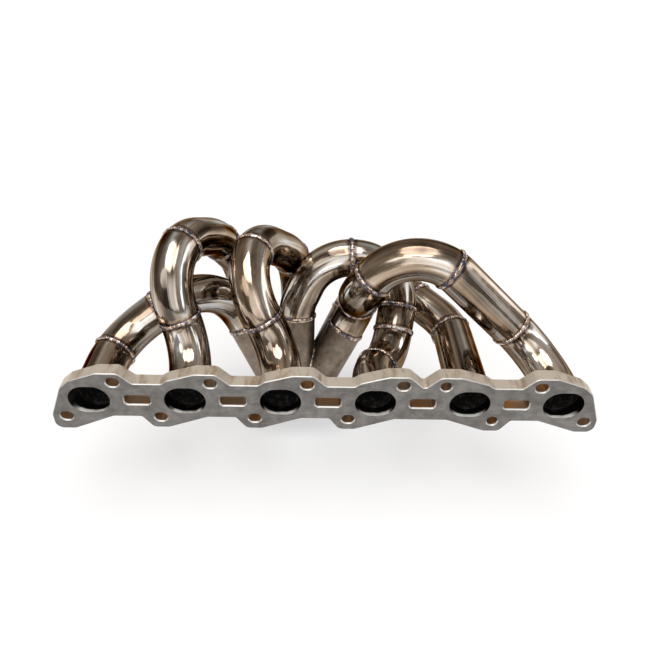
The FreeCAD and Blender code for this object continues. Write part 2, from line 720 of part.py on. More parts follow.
def build_turbine_flange():
    up, _ = collector_axes()
    place = frame(outlet_centre() - up * size("cone_length"), up, ACROSS)
    body = start_body("turbine_flange")
    plate_sketch = add_sketch(body, "Plate")
    draw_rounded_rectangle(plate_sketch, *((size(f"turbine_plate_{n}"), f"Sizes.turbine_plate_{n}")
                                           for n in ("width", "depth", "corner")))
    plate = add_feature(body, "Pad", "PlatePad", plate_sketch, Reversed=True)
    plate.setExpression("Length", "Sizes.turbine_plate_thickness")
    port_sketch = add_sketch(body, "GasPort")
    draw_rounded_rectangle(port_sketch, *((size(f"turbine_port_{n}"), f"Sizes.turbine_port_{n}")
                                          for n in ("width", "depth", "corner")))
    add_feature(body, "Pocket", "GasPortCut", port_sketch, Type="ThroughAll")
    for x in (-1, 1):
        for y in (-1, 1):
            offset = Vector(x * size("turbine_bolts_width") / 2, y * size("turbine_bolts_depth") / 2, 0)
            hole = add_sketch(body, "TurbineBolt", Placement(offset, Rotation()))
            draw_circle(hole, "radius", size("turbine_bolt_hole") / 2, "Sizes.turbine_bolt_hole / 2")
            add_feature(body, "Pocket", "TurbineBoltHole", hole, Type="ThroughAll")
    body.Placement = place


def check_and_export():
    doc.recompute()
    failed = [item.Label for item in doc.Objects if {"Invalid", "Error"} & set(item.State)]
    if failed:
        raise RuntimeError(f"failed objects: {failed}")
    os.makedirs("parts", exist_ok=True)
    for node in nodes:
        shape = node.Shape
        if shape.isNull() or not shape.isValid():
            raise RuntimeError(f"{node.Label} has no valid shape")
        expected = expected_volume.get(node.Label)
        if expected and abs(shape.Volume / expected - 1) > 0.001:
            raise RuntimeError(f"{node.Label}: volume {shape.Volume:.0f}, expected {expected:.0f}")
        shape.exportStep(f"parts/{node.Label}.step")
        print(f"{node.Label}: {len(shape.Solids)} solid(s), {shape.Volume / 1000:.2f} cm3")


fill_sheet()
build_head_flange()
for runner_number in RUNNERS:
    build_runner(runner_number)
for runner_number in RUNNERS:
    build_leg(runner_number)
build_cone()
build_turbine_flange()
check_and_export()
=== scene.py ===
import math

import bmesh
import bpy
import numpy as np
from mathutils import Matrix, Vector
from mathutils.bvhtree import BVHTree


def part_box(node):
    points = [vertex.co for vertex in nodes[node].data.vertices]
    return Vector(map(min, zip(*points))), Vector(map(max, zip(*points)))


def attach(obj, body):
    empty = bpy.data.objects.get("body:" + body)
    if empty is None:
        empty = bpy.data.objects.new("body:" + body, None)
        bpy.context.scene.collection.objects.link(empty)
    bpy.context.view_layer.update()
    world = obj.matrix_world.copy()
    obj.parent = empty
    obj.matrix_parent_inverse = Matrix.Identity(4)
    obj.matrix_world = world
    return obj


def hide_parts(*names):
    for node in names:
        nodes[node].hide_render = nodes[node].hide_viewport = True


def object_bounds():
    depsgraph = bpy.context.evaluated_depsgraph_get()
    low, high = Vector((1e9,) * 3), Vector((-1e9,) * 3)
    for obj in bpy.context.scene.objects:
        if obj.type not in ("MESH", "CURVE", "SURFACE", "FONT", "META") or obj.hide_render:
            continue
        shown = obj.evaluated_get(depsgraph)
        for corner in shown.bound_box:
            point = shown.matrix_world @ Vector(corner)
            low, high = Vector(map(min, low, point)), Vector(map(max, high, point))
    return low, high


# Six-cylinder tubular exhaust manifold: polished bent tubes, rippled welds, a satin collector
# and a machined head flange. Everything is in metres.

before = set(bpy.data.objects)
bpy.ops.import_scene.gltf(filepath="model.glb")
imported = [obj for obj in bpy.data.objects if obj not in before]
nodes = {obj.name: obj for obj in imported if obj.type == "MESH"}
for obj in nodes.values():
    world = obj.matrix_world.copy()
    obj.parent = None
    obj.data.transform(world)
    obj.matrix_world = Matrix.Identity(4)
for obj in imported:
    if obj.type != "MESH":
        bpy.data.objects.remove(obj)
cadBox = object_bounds()
print("frame loaded:", len(nodes), "nodes")


class Signal:
    # A shader socket that can be used in a Python expression
    def __init__(self, book, socket):
        self.book, self.socket = book, socket

    def maths(self, operation, first, second):
        return self.book.add("ShaderNodeMath", {"operation": operation}, {0: first, 1: second})

    def __add__(self, other):
        return self.maths("ADD", self, other)

    def __radd__(self, other):
        return self.maths("ADD", other, self)

    def __sub__(self, other):
        return self.maths("SUBTRACT", self, other)

    def __rsub__(self, other):
        return self.maths("SUBTRACT", other, self)

    def __mul__(self, other):
        return self.maths("MULTIPLY", self, other)

    def __rmul__(self, other):
        return self.maths("MULTIPLY", other, self)

    def __truediv__(self, other):
        return self.maths("DIVIDE", self, other)

    def __rtruediv__(self, other):
        return self.maths("DIVIDE", other, self)

    def __pow__(self, other):
        return self.maths("POWER", self, other)


class NodeBook:
    # Adds nodes to one tree: settings first, then the values or links of the sockets
    def __init__(self, tree):
        self.tree = tree

    def add(self, kind, settings=None, sockets=None, output=0):
        node = self.tree.nodes.new(kind)
        for name, value in (settings or {}).items():
            if name == "stops":
                ramp = node.color_ramp.elements
                while len(ramp) < len(value):
                    ramp.new(0.5)
                for element, (place, colour) in zip(ramp, value):
                    element.position, element.color = place, (*colour, 1.0)
            else:
                setattr(node, name, value)
        for name, value in (sockets or {}).items():
            if isinstance(name, int):
                socket = node.inputs[name]
            else:
                socket = next(s for s in node.inputs if s.enabled and s.name == name)
            if isinstance(value, Signal):
                self.tree.links.new(value.socket, socket)
            elif socket.type == "RGBA" and len(value) == 3:
                socket.default_value = (*value, 1.0)
            else:
                socket.default_value = value
        if isinstance(output, str):
            return Signal(self, node.outputs[output])
        outputs = [s for s in node.outputs if s.enabled]
        return Signal(self, outputs[output]) if outputs else node

    def place(self):
        return self.add("ShaderNodeTexCoord", output="Object")

    def axes(self, vector):
        return [self.add("ShaderNodeSeparateXYZ", None, {0: vector}, name) for name in "XYZ"]

    def noise(self, vector, scale, detail=3.0, roughness=0.5, stretch=(1, 1, 1)):
        stretched = self.add("ShaderNodeMapping", None, {"Vector": vector, "Scale": stretch})
        return self.add("ShaderNodeTexNoise", None, {
            "Vector": stretched, "Scale": scale, "Detail": detail, "Roughness": roughness})

    def ramp(self, value, *stops):
        return self.add("ShaderNodeValToRGB", {"stops": stops}, {0: value})

    def band(self, value, low, high, atLow=0.0, atHigh=1.0):
        return self.add("ShaderNodeMapRange", {"interpolation_type": "SMOOTHSTEP"}, {
            "Value": value, "From Min": low, "From Max": high, "To Min": atLow, "To Max": atHigh})

    def weigh(self, weights, *values):
        total = values[0] * weights[0]
        for value, weight in zip(values[1:], weights[1:]):
            total = total + value * weight
        return total

    def blend(self, first, second, factor, kind="MIX"):
        return self.add("ShaderNodeMix", {"data_type": "RGBA", "blend_type": kind},
                        {"Factor": factor, "A": first, "B": second})

    def attribute(self, name, output="Fac"):
        return self.add("ShaderNodeAttribute", {"attribute_name": name}, output=output)

    def smaller(self, first, second):
        return self.add("ShaderNodeMath", {"operation": "MINIMUM"}, {0: first, 1: second})

    def larger(self, first, second):
        return self.add("ShaderNodeMath", {"operation": "MAXIMUM"}, {0: first, 1: second})

    def absolute(self, value):
        return self.add("ShaderNodeMath", {"operation": "ABSOLUTE"}, {0: value})

    def facing(self):
        return self.axes(self.add("ShaderNodeNewGeometry", output="Normal"))

    def bump(self, height, strength, distance, under=None):
        sockets = {"Height": height, "Strength": strength, "Distance": distance}
        if under:
            sockets["Normal"] = under
        return self.add("ShaderNodeBump", None, sockets)


def newMaterial(name):
    material = bpy.data.materials.new(name)
    material.use_nodes = True
    material.node_tree.nodes.clear()
    return material, NodeBook(material.node_tree)


def finishSurface(book, sockets):
    surface = book.add("ShaderNodeBsdfPrincipled", None, sockets)
    book.add("ShaderNodeOutputMaterial", None, {"Surface": surface})


polishedTube = {
    # Buffed steel with painted reflection bands, from its darkest bands to its brightest
    "streaks": {"scale": 1.0, "detail": 1.6, "roughness": 0.55, "stretch": (2.2, 2.2, 9.0)},
    "fineStreaks": {"scale": 1.0, "detail": 3.0, "roughness": 0.6, "stretch": (11.0, 11.0, 14.0)},
    "clouds": {"scale": 30.0, "detail": 4.0, "roughness": 0.55}, "mix": (0.72, 0.10, 0.18),
    "buffingAndPaintedReflection": ((0.36, (0.12, 0.092, 0.075)), (0.46, (0.365, 0.298, 0.235)),
               (0.54, (0.575, 0.505, 0.43)), (0.62, (0.93, 0.925, 0.93))),
    # Painted shade on the undersides, by how far the surface faces down
    "under": (0.15, 0.118, 0.095), "undersideShade": (-0.6, 0.3, 0.75, 0.0),
    # Old heat
    "drift": {"scale": 1.0, "detail": 2.0, "roughness": 0.5, "stretch": (1.5, 1.5, 7.0)},
    "heat": ((0.40, (0.90, 0.96, 1.0)), (0.60, (1.0, 0.91, 0.81))),
    # Heat tint beside a weld, from the weld outwards
    "wander": {"scale": 150.0, "detail": 3.0, "roughness": 0.6}, "tintWander": 0.8,
    "tintWidth": 0.008, "tintFade": (0.45, 1.0, 0.85, 0.0),
    "tint": ((0.12, (0.045, 0.042, 0.05)), (0.32, (0.06, 0.063, 0.09)), (0.46, (0.18, 0.12, 0.11)),
             (0.70, (0.52, 0.36, 0.20)), (0.98, (0.575, 0.505, 0.43))),
    # Inside of the tubes, painted near black as shade
    "lining": ((0.50, (0.018, 0.017, 0.016)), (0.70, (0.085, 0.078, 0.07))),
    "boreRough": 0.85, "boreDull": 0.9,
    "edge": (0.26, 0.195, 0.155), "roughMix": (0.5, 0.5), "roughness": (0.38, 0.66, 0.07, 0.19),
    "waves": {"scale": 34.0, "detail": 2.0, "roughness": 0.4}, "waveMix": (0.7, 0.3),
    "waveBump": (0.5, 0.004),
    "scuffs": {"scale": 260.0, "detail": 5.0, "roughness": 0.65}, "scuffBump": (0.06, 0.0005),
}


def makeTubeSteel():
    look = polishedTube
    material, book = newMaterial("polishedTubeSteel")
    place = book.place()
    skin = book.attribute("skin", "Vector")
    # Buffing bands with painted reflection streaks run along each tube and drift slowly round it
    streaks = book.noise(skin, **look["streaks"])
    fine = book.noise(skin, **look["fineStreaks"])
    clouds = book.noise(place, **look["clouds"])
    buffingAndPaintedReflection = book.ramp(book.weigh(look["mix"], streaks, fine, clouds), *look["buffingAndPaintedReflection"])
    # Painted shade: the undersides are darkened by how far they face down
    upward = book.facing()[2]
    shadedBelow = book.blend(buffingAndPaintedReflection, look["under"], book.band(upward, *look["undersideShade"]))
    # Old heat leaves the steel straw in some bands and cooler in others
    heat = book.ramp(book.noise(skin, **look["drift"]), *look["heat"])
    base = book.blend(shadedBelow, heat, 1.0, "MULTIPLY")
    # Beside a weld it turns straw, then violet and blue
    near = book.smaller(book.attribute("fromStart"), book.attribute("fromEnd"))
    wander = book.noise(place, **look["wander"])
    reach = near / look["tintWidth"] + (wander - 0.5) * look["tintWander"]
    tint = book.ramp(reach, *look["tint"])
    tinted = book.blend(base, tint, book.band(reach, *look["tintFade"]))
    bore = book.attribute("bore")
    # The bores are painted near black as shade
    colour = book.blend(tinted, book.ramp(wander, *look["lining"]), bore)
    roughness = book.band(book.weigh(look["roughMix"], fine, clouds), *look["roughness"])
    uneven = book.weigh(look["waveMix"], streaks, book.noise(place, **look["waves"]))
    scuffs = book.noise(place, **look["scuffs"])
    finishSurface(book, {
        "Base Color": colour, "Metallic": 1.0 - bore * look["boreDull"],
        "Roughness": book.larger(roughness, bore * look["boreRough"]),
        "Specular Tint": look["edge"],
        "Normal": book.bump(scuffs, *look["scuffBump"], book.bump(uneven, *look["waveBump"]))})
    return material


collectorSteel = {
    "clouds": {"scale": 30.0, "detail": 5.0, "roughness": 0.6},
    "blotches": {"scale": 110.0, "detail": 5.0, "roughness": 0.7},
    "brushing": {"scale": 210.0, "detail": 4.0, "roughness": 0.7, "stretch": (1.0, 1.0, 0.12)},
    "mix": (0.4, 0.35, 0.25), "steel": ((0.38, (0.125, 0.096, 0.072)), (0.62, (0.37, 0.30, 0.235))),
    "paintedBoreShade": (0.012, 0.010, 0.009), "boreRough": 0.85, "boreDull": 0.9,
    "roughness": (0.3, 0.7, 0.36, 0.55), "brushBump": (0.25, 0.0008),
}


def makeCollectorSteel():
    look = collectorSteel
    material, book = newMaterial("satinCollectorSteel")
    place = book.place()
    clouds = book.noise(place, **look["clouds"])
    blotches = book.noise(place, **look["blotches"])
    brushed = book.noise(place, **look["brushing"])
    base = book.ramp(book.weigh(look["mix"], clouds, blotches, brushed), *look["steel"])
    bore = book.attribute("bore")
    roughness = book.band(brushed, *look["roughness"])
    # The bore is painted near black as shade
    finishSurface(book, {
        "Base Color": book.blend(base, look["paintedBoreShade"], bore),
        "Metallic": 1.0 - bore * look["boreDull"],
        "Roughness": book.larger(roughness, bore * look["boreRough"]),
        "Normal": book.bump(brushed, *look["brushBump"])})
    return material


weldMetal = {
    "speckle": {"scale": 240.0, "detail": 3.0, "roughness": 0.7},
    "drift": {"scale": 70.0, "detail": 2.0, "roughness": 0.5}, "mix": (0.65, 0.35),
    # Nearly black, blue, violet, straw and bare silver
    "tint": ((0.38, (0.035, 0.035, 0.04)), (0.44, (0.11, 0.15, 0.23)), (0.48, (0.24, 0.15, 0.13)),
             (0.535, (0.60, 0.42, 0.27)), (0.60, (0.82, 0.81, 0.80))),
    "roughness": (0.3, 0.7, 0.18, 0.34), "speckleBump": (0.3, 0.0006),
}


def makeWeldMetal():
    look = weldMetal
    material, book = newMaterial("tintedWeldMetal")
    place = book.place()
    speckle = book.noise(place, **look["speckle"])
    drift = book.noise(place, **look["drift"])
    finishSurface(book, {
        "Base Color": book.ramp(book.weigh(look["mix"], speckle, drift), *look["tint"]),
        "Metallic": 1.0, "Roughness": book.band(drift, *look["roughness"]),
        "Normal": book.bump(speckle, *look["speckleBump"])})
    return material


machinedPlate = {
    # The two machined faces
    "clouds": {"scale": 24.0, "detail": 5.0, "roughness": 0.62},
    "blotches": {"scale": 95.0, "detail": 5.0, "roughness": 0.7},
    "milling": {"scale": 420.0, "detail": 4.0, "roughness": 0.7, "stretch": (0.12, 1.0, 1.0)},
    "mix": (0.35, 0.40, 0.25), "flat": (0.3, 0.55),
    "face": ((0.39, (0.130, 0.121, 0.112)), (0.61, (0.265, 0.250, 0.235))),
    "roughness": (0.3, 0.7, 0.36, 0.50), "millBump": (0.18, 0.0006), "metal": (0.0, 1.0, 0.45, 0.9),
    # The cut edge
    "sawing": {"scale": 75.0, "detail": 5.0, "roughness": 0.65, "stretch": (1.0, 0.3, 1.0)},
    "edge": (0.60, 0.525, 0.43), "stain": (0.37, 0.275, 0.19), "edgeStain": (0.45, 0.66),
    # Stud holes, relief windows and ports
    "wall": (0.42, 0.23, 0.10), "wallStain": (0.4, 0.6), "paintedBoreShade": (0.018, 0.017, 0.016),
    "pitch": 0.0965, "portReach": (0.0225, 0.0215), "portEdge": (1.0, 1.12, 1.0, 0.0),
    # Painted highlight on the lower lip of each port, with stains, by height and by depth from the
    # face
    "lipHighlight": (0.88, 0.86, 0.81), "lipStain": (0.50, 0.66, 0.0, 0.7), "lipDull": 0.85,
    "lipTop": (-0.0160, -0.0085, 1.0, 0.0), "lipWander": 0.01,
    "lipDepth": (0.0036, 0.0060, 1.0, 0.0), "depthWander": 0.004,
    # Painted highlight on the chamfers, by how far they face sideways and how far up
    "chamferFrom": (0.6, 0.66), "chamferTo": (0.76, 0.9, 0.75, 0.0),
    "chamferUp": (-0.3, 0.4, 0.15, 1.0),
}


def makeFlangeSteel():
    look = machinedPlate
    material, book = newMaterial("machinedFlangeSteel")
    place = book.place()
    x, y, z = book.axes(place)
    clouds = book.noise(place, **look["clouds"])
    blotches = book.noise(place, **look["blotches"])
    milled = book.noise(place, **look["milling"])
    face = book.ramp(book.weigh(look["mix"], clouds, blotches, milled), *look["face"])
    # The cut edge is paler and warmer than the two machined faces
    normal = book.facing()
    sideways = book.absolute(normal[1])
    flat = book.band(sideways, *look["flat"])
    sawn = book.noise(place, **look["sawing"])
    edge = book.blend(look["edge"], look["stain"], book.band(sawn, *look["edgeStain"]))
    # Hole walls are stained; the port walls are painted near black as shade, with a painted
    # highlight on the lower lip
    inner = book.attribute("inner")
    across = book.add("ShaderNodeMath", {"operation": "FRACT"}, {0: x / look["pitch"]})
    fromPort = book.absolute(across - 0.5) * look["pitch"]
    halfWidth, halfHeight = look["portReach"]
    port = book.band((fromPort / halfWidth) ** 2.0 + (z / halfHeight) ** 2.0, *look["portEdge"])
    inwards = y + (blotches - 0.5) * look["depthWander"]
    height = z + (sawn - 0.5) * look["lipWander"]
    lipHighlight = book.band(height, *look["lipTop"]) * book.band(inwards, *look["lipDepth"]) * port
    stainedLipHighlight = book.blend(look["lipHighlight"], look["stain"], book.band(blotches, *look["lipStain"]))
    portWall = book.blend(look["paintedBoreShade"], stainedLipHighlight, lipHighlight)
    wall = book.blend(look["wall"], look["stain"], book.band(clouds, *look["wallStain"]))
    holes = book.blend(wall, portWall, port)
    outside = book.blend(edge, face, flat)
    # Painted highlight: chamfers that face up are bright, those that face down hardly at all
    chamfer = book.band(sideways, *look["chamferFrom"]) * book.band(sideways, *look["chamferTo"])
    chamferHighlight = chamfer * book.band(normal[2], *look["chamferUp"])
    edged = book.blend(outside, look["lipHighlight"], chamferHighlight)
    dull = lipHighlight * (1.0 - flat) * look["lipDull"]
    finishSurface(book, {
        "Base Color": book.blend(edged, holes, book.larger(inner, port) * (1.0 - flat)),
        "Metallic": book.band(flat + inner, *look["metal"]) * (1.0 - dull),
        "Roughness": book.band(milled, *look["roughness"]),
        "Normal": book.bump(milled, *look["millBump"])})
    return material


turbinePlate = {
    "clouds": {"scale": 24.0, "detail": 5.0, "roughness": 0.6},
    "milling": {"scale": 380.0, "detail": 4.0, "roughness": 0.7, "stretch": (0.12, 1.0, 1.0)},
    "mix": (0.6, 0.4), "steel": ((0.36, (0.22, 0.20, 0.18)), (0.64, (0.40, 0.36, 0.33))),
    "metal": 0.95, "roughness": (0.3, 0.7, 0.34, 0.5), "millBump": (0.2, 0.0006),
}


def makeTurbineSteel():
    look = turbinePlate
    material, book = newMaterial("machinedTurbineSteel")
    place = book.place()
    clouds = book.noise(place, **look["clouds"])
    milled = book.noise(place, **look["milling"])
    finishSurface(book, {
        "Base Color": book.ramp(book.weigh(look["mix"], clouds, milled), *look["steel"]),
        "Metallic": look["metal"], "Roughness": book.band(milled, *look["roughness"]),
        "Normal": book.bump(milled, *look["millBump"])})
    return material


tubeSteel = makeTubeSteel()
legSteel = makeCollectorSteel()
weldSteel = makeWeldMetal()
plateSteel = makeFlangeSteel()
turbineSteel = makeTurbineSteel()
print("finishes made")

# Sizes of the tubes and how their meshes are read, in metres and degrees
tubeDressing = {
    "tubeRadius": 0.022225, "boreRadius": 0.020225, "borePeek": 0.0445, "liftOff": 0.0005,
    "tintReach": 0.3, "sharp": 35.0, "merge": 2e-6, "stationGap": 0.0012, "fewestCentres": 9,
    "smooth": 0.9, "patternShift": 0.37,
}


def mergedCopy(name):
    mesh = bmesh.new()
    mesh.from_mesh(nodes[name].data)
    bmesh.ops.remove_doubles(mesh, verts=mesh.verts, dist=tubeDressing["merge"])
    return mesh


def islands(mesh):
    # Groups of vertices that hang together, in the order in which the mesh has them
    seen = set()
    for start in mesh.verts:
        if start in seen:
            continue
        seen.add(start)
        island = [start]
        for vertex in island:
            for edge in vertex.link_edges:
                other = edge.other_vert(vertex)
                if other not in seen:
                    seen.add(other)
                    island.append(other)
        yield island


def readRings(name):
    # Middle, axis, a direction across it and inner radius of each ring of weld metal
    mesh = mergedCopy(name)
    found = []
    for island in islands(mesh):
        points = np.array([vertex.co for vertex in island])
        middle = points.mean(axis=0)
        axis, side, up = np.linalg.eigh(np.cov((points - middle).T))[1].T
        flat = np.stack([(points - middle) @ side, (points - middle) @ up])
        shift = (flat.max(axis=1) + flat.min(axis=1)) / 2
        middle = middle + side * shift[0] + up * shift[1]
        along = (points - middle) @ axis
        middle = middle + axis * (along.max() + along.min()) / 2
        radial = points - middle
        radial = radial - np.outer(radial @ axis, axis)
        found.append({"middle": Vector(middle), "axis": Vector(axis), "side": Vector(side),
                      "radius": float(np.linalg.norm(radial, axis=1).min())})
    mesh.free()
    return found


runners = sorted({name.split("_")[1] for name in nodes if name.startswith("runner_")})
rings = {runner: readRings(f"runner_{runner}_weld_beads") for runner in runners}
print("welds read:", {runner: len(found) for runner, found in rings.items()})


def centreStations(points):
    # Orders the centres of a tube's rings of vertices from one end to the other
    stations = []
    for point in points:
        if not any((point - station).length < tubeDressing["stationGap"] for station in stations):
            stations.append(point)
    middle = sum(stations, Vector()) / len(stations)
    path = [max(stations, key=lambda station: (station - middle).length)]
    left = [station for station in stations if station is not path[0]]
    while left:
        path.append(min(left, key=lambda station: (station - path[-1]).length))
        left.remove(path[-1])
    return path


def transport(path):
    # Each centre with the length up to it and two directions across the tube that don't twist
    tangents = [(path[min(i + 1, len(path) - 1)] - path[max(i - 1, 0)]).normalized()
                for i in range(len(path))]
    sideways = tangents[0].orthogonal().normalized()
    length, steps = 0.0, []
    for i, tangent in enumerate(tangents):
        sideways = (sideways - tangent * sideways.dot(tangent)).normalized()
        length += (path[i] - path[i - 1]).length if i else 0.0
        steps.append((path[i], length, sideways, tangent.cross(sideways)))
    return steps


def innerFaces(mesh):
    # A wall that looks at its own mesh a short way off lines a bore or a hole
    tree = BVHTree.FromBMesh(mesh)
    lining = set()
    for face in mesh.faces:
        start = face.calc_center_median() + face.normal * tubeDressing["liftOff"]
        if tree.ray_cast(start, face.normal, tubeDressing["borePeek"])[0]:
            lining.add(face)
    return lining


def makePiece(name, mesh, material):
    for face in mesh.faces:
        face.smooth = True
    for edge in mesh.edges:
        edge.smooth = (len(edge.link_faces) == 2
                       and edge.calc_face_angle() < math.radians(tubeDressing["sharp"]))
    data = bpy.data.meshes.new(name)
    mesh.to_mesh(data)
    mesh.free()
    piece = bpy.data.objects.new(name, data)
    bpy.context.collection.objects.link(piece)
    data.materials.append(material)
    return piece


def dressTube(name, material, welds, offset):
    mesh = mergedCopy(name)
    mesh.normal_update()
    bore = mesh.verts.layers.float.new("bore")
    ends = [mesh.verts.layers.float.new(key) for key in ("fromStart", "fromEnd")]
    skin = mesh.verts.layers.float_vector.new("skin")
    lining = innerFaces(mesh)
    radius = tubeDressing["tubeRadius"]
    # The point of the tube's centreline under each outer vertex
    centres = {}
    for vertex in mesh.verts:
        walls = [face for face in vertex.link_faces if face not in lining]
        vertex[bore] = 0.0 if len(walls) == len(vertex.link_faces) else 1.0
        if vertex[bore] == 0.0:
            normal = sum((face.normal * face.calc_area() for face in walls), Vector()).normalized()
            centres[vertex] = (vertex.co - normal * radius, normal)

    def distance(weld):
        return min((vertex.co - weld["middle"]).length for vertex in mesh.verts)

    touching = sorted(welds, key=distance)
    for vertex in mesh.verts:
        for layer, weld in zip(ends, touching[:2]):
            away = (vertex.co - weld["middle"]).length_squared - weld["radius"] ** 2
            vertex[layer] = min(max(away, 0.0) ** 0.5, tubeDressing["tintReach"])
    smooth = [centre for vertex, (centre, normal) in centres.items()
              if all(abs(face.normal.dot(normal)) > tubeDressing["smooth"]
                     for face in vertex.link_faces)]
    enough = len(smooth) >= tubeDressing["fewestCentres"]
    steps = transport(centreStations(smooth)) if enough else []
    for vertex in mesh.verts:
        if vertex not in centres or not steps:
            continue
        centre, normal = centres[vertex]
        _, length, side, other = min(steps, key=lambda step: (step[0] - centre).length)
        vertex[skin] = (normal.dot(side) + offset, normal.dot(other) - offset, length)
    return makePiece(f"dressed_{name}", mesh, material)


def dressPlate(name, material):
    mesh = mergedCopy(name)
    mesh.normal_update()
    inner = mesh.verts.layers.float.new("inner")
    for face in innerFaces(mesh):
        for vertex in face.verts:
            vertex[inner] = 1.0
    return makePiece(f"dressed_{name}", mesh, material)


def handOver(piece, replaced):
    # Everything is welded together, so every piece rides on the one body
    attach(piece, "root")
    if replaced:
        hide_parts(replaced)


for runner in runners:
    for index, name in enumerate(sorted(nodes)):
        if name.startswith(f"runner_{runner}_") and not name.endswith("weld_beads"):
            shift = tubeDressing["patternShift"] * index
            handOver(dressTube(name, tubeSteel, rings[runner], shift), name)
for name in sorted(nodes):
    if name.startswith("collector_leg"):
        handOver(dressTube(name, legSteel, rings[name.split("_")[2]], 0.0), name)
handOver(dressPlate("head_flange", plateSteel), "head_flange")
print("tubes and flange dressed")


def giveMaterial(name, material):
    if not nodes[name].material_slots:
        nodes[name].data.materials.append(material)
    for slot in nodes[name].material_slots:
        slot.material = material


# A row of small leaning scales is laid along each weld. These are the inputs of its node tree
rippleSizes = {
    "Spacing": 0.0023, "Scale Length": 0.0016, "Scale Width": 0.0027, "Scale Height": 0.00145,
    "Lean": 0.5, "Jitter": 0.2, "Seed": 11,
}
# The line on which they lie: its points, and where the bead fills the corner at the head flange
weldRow = {"points": 96, "lift": 0.0011, "nearPlate": 0.005, "square": 0.99}


def makeRippleTree():
    tree = bpy.data.node_groups.new("weldRipples", "GeometryNodeTree")
    tree.interface.new_socket("Geometry", in_out="INPUT", socket_type="NodeSocketGeometry")
    for name, value in rippleSizes.items():
        kind = "NodeSocketInt" if isinstance(value, int) else "NodeSocketFloat"
        tree.interface.new_socket(name, in_out="INPUT", socket_type=kind).default_value = value
    tree.interface.new_socket("Geometry", in_out="OUTPUT", socket_type="NodeSocketGeometry")
    book = NodeBook(tree)
    given = tree.nodes.new("NodeGroupInput")
    take = {socket.name: Signal(book, socket) for socket in given.outputs if socket.name}
    line = book.add("GeometryNodeMeshToCurve", None, {"Mesh": take["Geometry"]})
    steps = book.add("GeometryNodeResampleCurve", {"mode": "LENGTH"},
                     {"Curve": line, "Length": take["Spacing"]})
    scale = book.add("GeometryNodeMeshUVSphere", None,
                     {"Segments": 10, "Rings": 6, "Radius": 1.0}, "Mesh")
    outward = book.add("GeometryNodeInputNamedAttribute",
                       {"data_type": "FLOAT_VECTOR"}, {"Name": "outward"})
    tangent = book.add("GeometryNodeInputTangent")
    upright = book.add("FunctionNodeAxesToRotation", {"primary_axis": "Z", "secondary_axis": "X"},
                       {"Primary Axis": outward, "Secondary Axis": tangent})
    tilt = book.add("ShaderNodeCombineXYZ", None, {"Y": take["Lean"]})
    turn = book.add("FunctionNodeEulerToRotation", None, {"Euler": tilt})
    leaning = book.add("FunctionNodeRotateRotation", {"rotation_space": "LOCAL"},
                       {"Rotation": upright, "Rotate By": turn})
    size = book.add("ShaderNodeCombineXYZ", None, {
        "X": take["Scale Length"], "Y": take["Scale Width"], "Z": take["Scale Height"]})
    spread = book.add("FunctionNodeRandomValue", {"data_type": "FLOAT"}, {
        "Min": 1.0 - take["Jitter"], "Max": 1.0 + take["Jitter"], "Seed": take["Seed"]})
    varied = book.add("ShaderNodeVectorMath", {"operation": "SCALE"},
                      {"Vector": size, "Scale": spread})
    row = book.add("GeometryNodeInstanceOnPoints", None, {
        "Points": steps, "Instance": scale, "Rotation": leaning, "Scale": varied})
    solid = book.add("GeometryNodeRealizeInstances", None, {"Geometry": row})
    smooth = book.add("GeometryNodeSetShadeSmooth", None, {0: solid})
    finished = book.add("GeometryNodeSetMaterial", None,
                        {"Geometry": smooth, "Material": weldSteel})
    book.add("NodeGroupOutput", None, {0: finished})
    return tree


rippleTree = makeRippleTree()


def layRipples(name, points, edges, outward, sizes):
    # Runs the tree along a line of points and keeps the result as a plain mesh
    data = bpy.data.meshes.new(f"{name}_path")
    data.from_pydata(points, edges, [])
    layer = data.attributes.new("outward", "FLOAT_VECTOR", "POINT")
    layer.data.foreach_set("vector", [value for vector in outward for value in vector])
    path = bpy.data.objects.new(f"{name}_path", data)
    bpy.context.collection.objects.link(path)
    modifier = path.modifiers.new("ripples", "NODES")
    modifier.node_group = rippleTree
    for item in rippleTree.interface.items_tree:
        if item.name in sizes:
            modifier[item.identifier] = sizes[item.name]
    shaped = path.evaluated_get(bpy.context.evaluated_depsgraph_get())
    piece = bpy.data.objects.new(name, bpy.data.meshes.new_from_object(shaped))
    bpy.context.collection.objects.link(piece)
    bpy.data.objects.remove(path)
    handOver(piece, None)


def ringPath(weld, plateBack):
    # Points round a tube; where the tube meets the plate the bead stands in the corner
    middle, axis, side = weld["middle"], weld["axis"], weld["side"]
    fillet = abs(middle.y - plateBack) < weldRow["nearPlate"] and abs(axis.y) > weldRow["square"]
    other = axis.cross(side)
    radius = weld["radius"] + (weldRow["lift"] if fillet else 0.0)
    points, outward = [], []
    for i in range(weldRow["points"]):
        angle = 2 * math.pi * i / weldRow["points"]
        radial = side * math.cos(angle) + other * math.sin(angle)
        point = middle + radial * radius
        if fillet:
            point.y = plateBack + weldRow["lift"]
            radial = (radial + Vector((0, 1, 0))).normalized()
        points.append(point)
        outward.append(radial)
    return points, outward


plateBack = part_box("head_flange")[1][1]
for runner in runners:
    points, edges, outward = [], [], []
    for weld in rings[runner]:
        ring, away = ringPath(weld, plateBack)
        first, count = len(points), len(ring)
        edges += [(first + i, first + (i + 1) % count) for i in range(count)]
        points += ring
        outward += away
    seed = rippleSizes["Seed"] + int(runner)
    layRipples(f"weld_ripples_{runner}", points, edges, outward, {**rippleSizes, "Seed": seed})
print("weld ripples laid")

# The beads where the collector legs meet each other and the cone: how much finer they are,
# and which edges of the legs and the cone carry them
collectorSeam = {
    "finer": 0.95, "sharp": 15.0, "near": 0.0004, "pastInlet": 0.004, "square": 0.05,
    "footFacing": -0.85, "wallFacing": 0.8,
}


